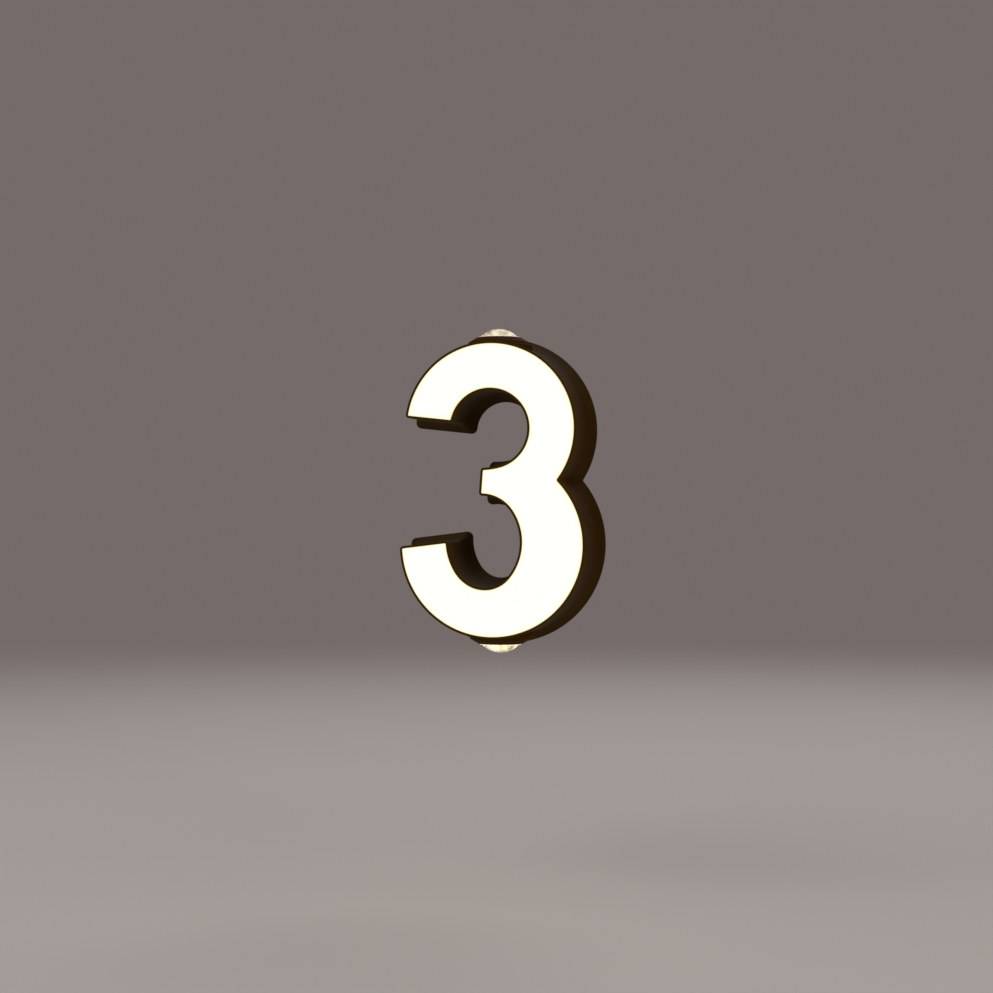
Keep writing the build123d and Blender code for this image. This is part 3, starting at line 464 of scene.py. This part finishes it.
def lens_material(name, centre, tint, strength, clear):
    """Clear moulded lens. The light inside it shows as upright streaks round the dome,
    brightest in the bead at its foot. The faces held in the ring are not clear: they
    carry the light that the lens is filled with."""
    mat, tree, bsdf, out = shader(name)
    bsdf.inputs["Base Color"].default_value = (1.0, 0.985, 0.94, 1.0)
    bsdf.inputs["Transmission Weight"].default_value = 1.0 if clear else 0.0
    bsdf.inputs["IOR"].default_value = 1.49
    tree.links.new(spread(tree, noise(tree, 500.0, 3.0), 0.02, 0.08) if clear else spread(tree, noise(tree, 500.0, 3.0), 0.4, 0.6), bsdf.inputs["Roughness"])
    co = tree.nodes.new("ShaderNodeTexCoord")
    place = tree.nodes.new("ShaderNodeMapping")
    place.inputs["Location"].default_value = (-centre[0], -centre[1], 0.0)
    tree.links.new(co.outputs["Object"], place.inputs["Vector"])
    flat = tree.nodes.new("ShaderNodeVectorMath")
    flat.operation = "MULTIPLY"
    flat.inputs[1].default_value = (1.0, 1.0, 0.0)
    tree.links.new(place.outputs["Vector"], flat.inputs[0])
    unit = tree.nodes.new("ShaderNodeVectorMath")
    unit.operation = "NORMALIZE"
    tree.links.new(flat.outputs["Vector"], unit.inputs[0])
    rise = tree.nodes.new("ShaderNodeVectorMath")
    rise.operation = "MULTIPLY"
    rise.inputs[1].default_value = (0.0, 0.0, 70.0)
    tree.links.new(place.outputs["Vector"], rise.inputs[0])
    both = tree.nodes.new("ShaderNodeVectorMath")
    both.operation = "MULTIPLY_ADD"
    both.inputs[1].default_value = (10.0, 10.0, 0.0)
    tree.links.new(unit.outputs["Vector"], both.inputs[0])
    tree.links.new(rise.outputs["Vector"], both.inputs[2])
    streak = tree.nodes.new("ShaderNodeTexNoise")
    streak.inputs["Scale"].default_value = 1.0
    streak.inputs["Detail"].default_value = 3.0
    streak.inputs["Roughness"].default_value = 0.6
    tree.links.new(both.outputs["Vector"], streak.inputs["Vector"])
    # the bead, as extra light low on the dome
    parts = tree.nodes.new("ShaderNodeSeparateXYZ")
    tree.links.new(co.outputs["Object"], parts.inputs["Vector"])
    height = tree.nodes.new("ShaderNodeMath")
    height.operation = "ABSOLUTE"
    tree.links.new(parts.outputs["Z"], height.inputs[0])
    low = tree.nodes.new("ShaderNodeMapRange")
    low.interpolation_type = "SMOOTHSTEP"
    low.inputs["From Min"].default_value = 0.1059
    low.inputs["From Max"].default_value = 0.1049
    low.inputs["To Max"].default_value = 0.20 if clear else 0.0
    tree.links.new(height.outputs[0], low.inputs["Value"])
    lift = tree.nodes.new("ShaderNodeMath")
    lift.operation = "ADD"
    tree.links.new(streak.outputs["Fac"], lift.inputs[0])
    tree.links.new(low.outputs["Result"], lift.inputs[1])
    stops = [(0.38, 0.12), (0.47, 0.38), (0.56, 0.80), (0.66, 1.0)]
    warm = [(1.0, 0.74, 0.44), (1.0, 0.84, 0.58), (1.0, 0.93, 0.74), (1.0, 0.97, 0.90)]
    glow = ramp(tree, lift.outputs[0], [(p, tuple(v * w * t for w, t in zip(c, tint))) for (p, v), c in zip(stops, warm)])
    tree.links.new(glow, bsdf.inputs["Emission Color"])
    bsdf.inputs["Emission Strength"].default_value = strength
    return mat


def lit_material(name, stops, strength):
    mat, tree, bsdf, _ = shader(name)
    colour = ramp(tree, noise(tree, 700.0, 2.0), stops)
    tree.links.new(colour, bsdf.inputs["Base Color"])
    tree.links.new(colour, bsdf.inputs["Emission Color"])
    bsdf.inputs["Emission Strength"].default_value = strength
    tree.links.new(spread(tree, noise(tree, 900.0), 0.25, 0.4), bsdf.inputs["Roughness"])
    return mat


def spangle_material():
    """Zinc-plated sheet: faint crystals, fine rolling marks and uneven gloss."""
    mat, tree, bsdf, _ = shader("zinc_sheet")
    co = tree.nodes.new("ShaderNodeTexCoord")
    cells = tree.nodes.new("ShaderNodeTexVoronoi")
    cells.feature = "SMOOTH_F1"
    cells.inputs["Scale"].default_value = 150.0
    tree.links.new(co.outputs["Object"], cells.inputs["Vector"])
    marks = noise(tree, 260.0, 6.0, 0.7, (1, 1, 0.06))
    add = tree.nodes.new("ShaderNodeMath")
    add.operation = "MULTIPLY_ADD"
    tree.links.new(cells.outputs["Distance"], add.inputs[0])
    add.inputs[1].default_value = 0.30
    tree.links.new(marks, add.inputs[2])
    grey = ramp(tree, add.outputs[0], [(0.35, (0.42, 0.425, 0.43)), (0.62, (0.50, 0.505, 0.51)), (0.9, (0.56, 0.565, 0.57))])
    tree.links.new(grey, bsdf.inputs["Base Color"])
    bsdf.inputs["Metallic"].default_value = 1.0
    tree.links.new(spread(tree, noise(tree, 120.0, 5.0, 0.65, (1, 1, 0.15)), 0.34, 0.50), bsdf.inputs["Roughness"])
    bump(tree, bsdf, noise(tree, 900.0, 3.0, 0.6, (1, 1, 0.1)), 0.000006)
    return mat


# the housing coat carries a painted glow, warmest just behind the rim
COAT = painted_glow_coat_material("bronze_coat", (0.0370, 0.0160, 0.0010), (0.0520, 0.0234, 0.0022))
# the ring's coat carries an even painted glow, painted light from the lens it holds
RING_COAT = painted_glow_coat_material("bronze_coat_turned", (0.0380, 0.0145, 0.0012), (0.0520, 0.0205, 0.0024), (0.0062, 0.0028, 0.0))
FACE = face_material()
ZINC = spangle_material()
STEEL = surface("stainless", (0.48, 0.48, 0.47), (0.62, 0.61, 0.60), (0.22, 0.38), 1.0, 200.0, 4000.0, 0.000006)
BLACK_STEEL = surface("blackened_steel", (0.030, 0.028, 0.026), (0.07, 0.065, 0.06), (0.35, 0.5), 0.8, 300.0, 4000.0, 0.000008)
ALU = surface("turned_aluminium", (0.62, 0.63, 0.64), (0.74, 0.74, 0.75), (0.25, 0.4), 1.0, 120.0, 3000.0, 0.000008, 0.5, (1, 1, 8))
BRASS = surface("brass", (0.60, 0.42, 0.16), (0.74, 0.55, 0.24), (0.25, 0.42), 1.0, 300.0, 3000.0, 0.000006)
TIN = surface("tinned_copper", (0.60, 0.60, 0.58), (0.72, 0.71, 0.69), (0.3, 0.45), 1.0, 300.0, 3000.0, 0.000006)
FOAM = surface("foam_rubber", (0.012, 0.012, 0.012), (0.030, 0.029, 0.028), (0.8, 0.95), 0.0, 90.0, 1400.0, 0.0001, 0.3)
RUBBER = surface("grommet_rubber", (0.014, 0.014, 0.014), (0.030, 0.030, 0.030), (0.55, 0.7), 0.0, 120.0, 2400.0, 0.00002, 0.4)
SILICONE = surface("silicone", (0.52, 0.51, 0.48), (0.62, 0.61, 0.58), (0.5, 0.62), 0.0, 120.0, 1800.0, 0.00001, 0.4)
TAPE = surface("foam_tape", (0.03, 0.03, 0.03), (0.05, 0.05, 0.05), (0.7, 0.85), 0.0, 150.0, 2200.0, 0.00004, 0.3)
BOARD = surface("white_board", (0.66, 0.67, 0.64), (0.76, 0.77, 0.74), (0.35, 0.5), 0.0, 70.0, 1200.0, 0.000008)
FILM = surface("white_film", (0.82, 0.82, 0.81), (0.88, 0.88, 0.87), (0.55, 0.7), 0.0, 40.0, 900.0, 0.000006)
CASE = surface("driver_plastic", (0.018, 0.018, 0.019), (0.032, 0.032, 0.034), (0.45, 0.6), 0.0, 90.0, 1800.0, 0.00003)
POTTING = surface("potting", (0.03, 0.03, 0.034), (0.055, 0.055, 0.06), (0.3, 0.5), 0.0, 60.0, 600.0, 0.00003)
WHITE_PLASTIC = surface("white_plastic", (0.70, 0.69, 0.65), (0.78, 0.77, 0.73), (0.3, 0.42), 0.0, 90.0, 1500.0, 0.00001)
BROWN_LEAD = surface("brown_lead", (0.10, 0.045, 0.02), (0.15, 0.07, 0.03), (0.4, 0.5), 0.0, 120.0, 2500.0, 0.00001)
RED_LEAD = surface("red_lead", (0.34, 0.02, 0.015), (0.44, 0.035, 0.025), (0.4, 0.5), 0.0, 120.0, 2500.0, 0.00001)
PHOSPHOR = lit_material("phosphor", [(0.3, (0.85, 0.62, 0.16)), (0.7, (0.95, 0.76, 0.28))], 1.2)
# the reflector's emission is painted light: the LED's light on the cone
PAINTED_LIT_CONE = lit_material("painted_lit_cone", [(0.3, (0.70, 0.60, 0.44)), (0.7, (0.92, 0.84, 0.68))], 0.45)


def earth_material():
    """Green and yellow bands along the lead."""
    mat, tree, bsdf, _ = shader("earth_lead")
    co = tree.nodes.new("ShaderNodeTexCoord")
    wave = tree.nodes.new("ShaderNodeTexWave")
    wave.bands_direction = "X"
    wave.inputs["Scale"].default_value = 260.0
    wave.inputs["Distortion"].default_value = 0.4
    tree.links.new(co.outputs["Object"], wave.inputs["Vector"])
    tree.links.new(ramp(tree, wave.outputs["Fac"], [(0.49, (0.62, 0.55, 0.04)), (0.51, (0.04, 0.26, 0.05))]), bsdf.inputs["Base Color"])
    tree.links.new(spread(tree, noise(tree, 400.0), 0.38, 0.5), bsdf.inputs["Roughness"])
    bump(tree, bsdf, noise(tree, 2500.0), 0.000008)
    return mat


EARTH = earth_material()

NODE_LOOK = {
    "mounting_plate": ZINC, "wall_gasket": FOAM, "cable_grommet": RUBBER, "set_screws": BLACK_STEEL,
    "diffuser_tape": TAPE, "led_board": BOARD, "reflector_film": FILM, "face_leds": PHOSPHOR,
    "board_screws": STEEL, "board_connector": WHITE_PLASTIC, "board_leads": RED_LEAD,
    "top_lens_gasket": SILICONE, "bottom_lens_gasket": SILICONE,
    "top_lamp_cup": ALU, "bottom_lamp_cup": ALU, "top_spot_board": BOARD, "bottom_spot_board": BOARD,
    "top_spot_led": PHOSPHOR, "bottom_spot_led": PHOSPHOR, "spot_board_screws": STEEL,
    "top_spot_leads": RED_LEAD, "bottom_spot_leads": RED_LEAD, "supply_leads": BROWN_LEAD,
    "driver_case": CASE, "driver_potting": POTTING, "driver_screws": STEEL,
    "terminal_block": WHITE_PLASTIC, "terminal_inserts": BRASS, "terminal_screws": STEEL,
    "terminal_block_screw": STEEL, "earth_lead": EARTH, "earth_lug": TIN, "earth_screw": BRASS,
}
for name, mat in NODE_LOOK.items():
    data = nodes[name].data
    data.materials.clear()
    data.materials.append(mat)


# ------------------------------------------------------------------ housing
RIM_T, FLARE, FLARE_TOP = 1.5, 5.4, 21.0


def outer(g):
    corner = 0.9 + 0.9 * g if g < RIM_T else 2.25 + 0.33 * (g - RIM_T)
    return max(corner, 0.15), max(0.35 + 0.12 * g, NOTCH_R - g)


def inner(g):
    return 1.05 + g, 5.0 - g


def arc_levels(c, r, a0, a1, steps):
    """Profile points (g, depth) round a small fillet."""
    return [(c[0] + r * cos(radians(a0 + (a1 - a0) * k / steps)), c[1] + r * sin(radians(a0 + (a1 - a0) * k / steps))) for k in range(steps + 1)]


profile = []
profile += [(5.9, 0.0)]
profile += arc_levels((6.3, 0.6), 0.6, -90, 0, 4)
profile += [(6.9, 1.8)]
for k in range(17):
    t = 1 - k / 16
    profile.append((RIM_T + FLARE * t ** 1.5, FLARE_TOP - 18.0 * t))
profile += [(RIM_T, d) for d in (26.0, 32.0, 38.0, 44.0, 50.0, 55.0)]
profile += arc_levels((RIM_T - 0.42, 59.58), 0.42, 0, 90, 5)
profile += arc_levels((0.22, 59.78), 0.22, 90, 180, 4)
profile += [(0.0, 57.8), (0.0, 56.3), (-2.4, 56.3), (-2.4, 53.3)]
n_outer = len(profile)
levels = [(g, d, *outer(g)) for g, d in profile]
section_in = [(-0.8, 53.3), (-0.8, 44.0), (-0.8, 32.0), (-0.8, 20.0), (-0.2, 16.8), (0.6, 14.0), (1.35, 11.6), (2.1, 9.5), (3.0, 7.6), (3.9, 6.0), (3.9, 1.5)]
levels += [(g, d, *inner(g)) for g, d in section_in]
levels += [(5.9, 1.5, *outer(5.9))]
housing = lofted("housing_shell", levels)

SPOTS = {"top": ((-1.5 * MM, -27.3 * MM), 1), "bottom": ((-0.1 * MM, -27.3 * MM), -1)}
for where, (centre, up) in SPOTS.items():
    boss = lathe("boss", centre, up, rounded([(0, 85.8), (23.0, 85.8), (23.0, 99.8), (0, 99.8)], {2: 1.2}, 5), 144)
    cavity = lofted("cavity", [(g, d, *inner(g)) for g, d in [(3.9, -2.0)] + list(reversed(section_in[:-1]))], False)
    combine(boss, cavity, "DIFFERENCE")
    combine(housing, boss, "UNION")
    collar = lathe("collar", centre, up, [(0, 93.0), (20.0, 93.0), (20.0, 99.0), (0, 99.0)], 96)
    flat = new_object("flat", [(x, y, z) for x in (-0.05, 0.05) for y in (-0.08, -0.0469) for z in (up * 0.08, up * 0.12)],
        [(0, 1, 3, 2), (4, 6, 7, 5), (0, 4, 5, 1), (2, 3, 7, 6), (0, 2, 6, 4), (1, 5, 7, 3)])
    combine(collar, flat, "DIFFERENCE")
    combine(housing, collar, "UNION")
    # the skirt is solid behind the ring, so that its pocket doesn't open into the hollow
    lump = lathe("lump", centre, up, [(0, 93.4), (22.8, 93.4), (22.8, 112.0), (0, 112.0)], 144)
    hollow = lofted("hollow", [(g, d, *inner(g)) for g, d in [(1.0, 14.0), (1.75, 11.6), (2.5, 9.5), (3.4, 7.6), (4.3, 6.0), (4.3, 3.5)]], False)
    combine(lump, hollow, "INTERSECT")
    combine(housing, lump, "UNION")
    bore = lathe("bore", centre, up, [(0, 90.0), (15.0, 90.0), (15.0, 95.0), (17.2, 95.0), (17.2, 99.8), (21.4, 99.8), (21.4, 116.0), (0, 116.0)], 144)
    combine(housing, bore, "DIFFERENCE")
LUGS = [on_arc(UP_C, UP_R - 3.6, a) for a in (148.0, 62.0, -4.0)] + [on_arc(LO_C, LO_R - 3.6, a) for a in (8.0, -50.0, -118.0, -164.0)]
for x, z in LUGS:
    combine(housing, rod("lug", (x * MM, -0.0488, z * MM), (0, -1, 0), 3.4 * MM, 5.0 * MM), "UNION")
    combine(housing, rod("tap", (x * MM, -0.0478, z * MM), (0, -1, 0), 1.25 * MM, 5.0 * MM, 20), "DIFFERENCE")
for c, r, ang, side in [(UP_C, UP_R, 160.0, 1), (LO_C, LO_R, 203.0, 1), (UC_C, UC_R, -8.0, -1), (LC_C, LC_R, 0.0, -1)]:
    x, z = on_arc(c, r + side * 0.6, ang)
    d = Vector((cos(radians(ang)), 0, sin(radians(ang)))) * side
    combine(housing, rod("screw_hole", (x * MM, -6.0 * MM, z * MM), d, 2.1 * MM, 9.0 * MM), "DIFFERENCE")
finish_mesh(housing, 32.0)
housing.data.materials.clear()
housing.data.materials.append(COAT)
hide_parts("housing")
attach(housing, "root")


# ------------------------------------------------------------------ lit face
FACE_G = -0.1
rings_face = [(FACE_G, 56.8), (FACE_G, 59.5)] + [(FACE_G - 0.25 + 0.25 * cos(radians(a)), 59.55 + 0.25 * sin(radians(a))) for a in (18, 36, 54, 72, 90)]
rings_face += [(-0.7, 59.8), (-1.2, 59.8), (-2.0, 59.8), (-3.2, 59.8), (-4.8, 59.8)]
verts, faces, insets = [], [], []
count = None
for g, d in rings_face:
    pts = ring(g, max(0.9 + 0.9 * g, 0.12), NOTCH_R - g)
    count = len(pts)
    for x, z in pts:
        verts.append((x * MM, -d * MM, z * MM))
        insets.append(min(1.0, max(0.0, (-g - 0.1) / 3.4)))
for j in range(len(rings_face) - 1):
    for i in range(count):
        k = (i + 1) % count
        faces.append((j * count + i, j * count + k, (j + 1) * count + k, (j + 1) * count + i))
faces.append(tuple(range(count)))
faces.append(tuple(reversed(range((len(rings_face) - 1) * count, len(rings_face) * count))))
face = new_object("lit_face", verts, faces, 40.0)
attr = face.data.attributes.new("inset", "FLOAT", "POINT")
attr.data.foreach_set("value", insets)
face.data.materials.append(FACE)
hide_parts("face_diffuser")
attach(face, "root")


# ------------------------------------------------------------------ spots
LENS_LIGHT = {"top": ((1.0, 0.97, 0.90), 0.39), "bottom": ((1.0, 0.97, 0.78), 0.78)}


def dome_profile():
    """The dome from its apex down to its foot, then the bead round the foot."""
    rise, half, top, bead = 110.5 - 103.4, 14.25, 110.5, 105.0
    ball = (half * half + rise * rise) / (2 * rise)
    foot_r = sqrt(ball ** 2 - (bead - top + ball) ** 2)
    full = atan2(foot_r, bead - top + ball)
    dome = [(ball * sin(full * k / 22), top - ball + ball * cos(full * k / 22)) for k in range(23)]
    return dome + arc_levels((half - 0.22, bead - 0.22), 0.22, 90, 0, 4)


for where, (centre, up) in SPOTS.items():
    dome = dome_profile()
    dome[0] = (0.0, dome[0][1])
    body = dome + [(14.25, 101.6), (14.25, 99.5), (15.2, 99.5), (15.2, 97.5), (13.4, 97.5)]
    body += [(r, 97.5 + 0.8 * (1 - r / 12.5)) for r in (12.4, 11.0, 9.5, 8.0, 6.5, 5.0, 3.5, 2.0)] + [(0.0, 98.3)]
    lens = lathe(where + "_lens_dome", centre, up, body, 144, 28.0,
        lambda a, r, h: 0.22 * cos(24 * a) * min(1.0, r / 5.0) if (h < 98.4 and 1.0 < r < 12.6) else 0.0)
    tint, power = LENS_LIGHT[where]
    lens.data.materials.append(lens_material(where + "_lens_clear", centre, tint, 0.40 * power, True))
    lens.data.materials.append(lens_material(where + "_lens_filled", centre, tint, power, False))
    for face_in in lens.data.polygons:
        if abs(face_in.center.z) < 104.6 * MM:
            face_in.material_index = 1
    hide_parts(where + "_lens")
    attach(lens, "root")

    ring_p = [(14.4, 99.5), (15.4, 99.5), (15.4, 97.0), (17.0, 97.0), (17.0, 99.8), (21.0, 99.8), (21.0, 101.05), (15.15, 104.5), (14.4, 104.5)]
    holder = lathe(where + "_ring", centre, up, rounded(ring_p, {5: 0.12, 6: 0.5, 7: 0.35, 8: 0.2}, 4), 144, 30.0)
    for dx in (18.4, -18.4):
        combine(holder, rod("pin_hole", (centre[0] + dx * MM, centre[1], up * 100.8 * MM), (0, 0, up), 0.9 * MM, 4 * MM, 24), "DIFFERENCE")
    finish_mesh(holder, 30.0)
    holder.data.materials.clear()
    holder.data.materials.append(RING_COAT)
    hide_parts(where + "_lens_ring")
    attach(holder, "root")

    # reflector: a cone of flat facets, with a painted glow for the LED light falling on it
    rows = 7
    cone = [(3.0, 82.6), (4.2, 82.6), (12.6, 95.6), (12.6, 96.4), (11.7, 96.4)]
    cone += [(11.7 - 8.7 * (k / rows) ** 0.85, 96.4 - 13.0 * k / rows) for k in range(1, rows)] + [(3.0, 83.4)]
    refl = lathe(where + "_cone", centre, up, cone, 32, 4.0)
    refl.data.materials.append(PAINTED_LIT_CONE)
    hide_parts(where + "_spot_reflector")
    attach(refl, "root")


# ------------------------------------------------------------------ stage
WORLD = (0.176, 0.148, 0.143)
FLOOR_Z = -0.27


def stage_material():
    """Pale floor that fades into the backdrop's tone far from the sign."""
    mat, tree, bsdf, out = shader("pale_floor")
    tree.links.new(ramp(tree, noise(tree, 2.0, 2.0), [(0.3, (0.785, 0.765, 0.745)), (0.7, (0.80, 0.78, 0.76))]), bsdf.inputs["Base Color"])
    bsdf.inputs["Roughness"].default_value = 0.9
    bsdf.inputs["Specular IOR Level"].default_value = 0.05
    co = tree.nodes.new("ShaderNodeTexCoord")
    far = tree.nodes.new("ShaderNodeVectorMath")
    far.operation = "LENGTH"
    tree.links.new(co.outputs["Object"], far.inputs[0])
    fade = tree.nodes.new("ShaderNodeMapRange")
    fade.interpolation_type = "SMOOTHERSTEP"
    fade.inputs["From Min"].default_value = 0.4
    fade.inputs["From Max"].default_value = 3.4
    tree.links.new(far.outputs["Value"], fade.inputs["Value"])
    clear = tree.nodes.new("ShaderNodeBsdfTransparent")
    mix = tree.nodes.new("ShaderNodeMixShader")
    tree.links.new(fade.outputs["Result"], mix.inputs["Fac"])
    tree.links.new(bsdf.outputs["BSDF"], mix.inputs[1])
    tree.links.new(clear.outputs["BSDF"], mix.inputs[2])
    tree.links.new(mix.outputs["Shader"], out.inputs["Surface"])
    return mat


bm = bmesh.new()
bmesh.ops.create_circle(bm, cap_ends=True, radius=6.0, segments=96)
floor_mesh = bpy.data.meshes.new("floor")
bm.to_mesh(floor_mesh)
bm.free()
floor = bpy.data.objects.new("floor", floor_mesh)
floor.location = (0, 0, FLOOR_Z)
floor_mesh.materials.append(stage_material())
scene.collection.objects.link(floor)


def area(name, at, size, watts, colour=(1, 1, 1), aim=(0, -0.03, 0)):
    data = bpy.data.lights.new(name, "AREA")
    data.shape = "RECTANGLE"
    data.size, data.size_y = size
    data.energy = watts
    data.color = colour
    obj = bpy.data.objects.new(name, data)
    obj.location = at
    obj.rotation_euler = (Vector(aim) - Vector(at)).to_track_quat("-Z", "Y").to_euler()
    scene.collection.objects.link(obj)
    return obj


area("key", (-1.7, -2.0, 2.0), (3.0, 3.0), 32.0, (1.0, 0.975, 0.94))
area("fill", (2.3, -1.5, 1.0), (2.2, 2.2), 15.0, (1.0, 0.965, 0.92))
area("back", (0.4, 2.2, 1.8), (2.0, 1.4), 13.0, (1.0, 0.985, 0.96))

world = bpy.data.worlds.new("studio")
scene.world = world
world.use_nodes = True
bg = world.node_tree.nodes["Background"]
bg.inputs["Color"].default_value = (*WORLD, 1.0)
bg.inputs["Strength"].default_value = 1.0
scene.view_settings.view_transform = "Standard"
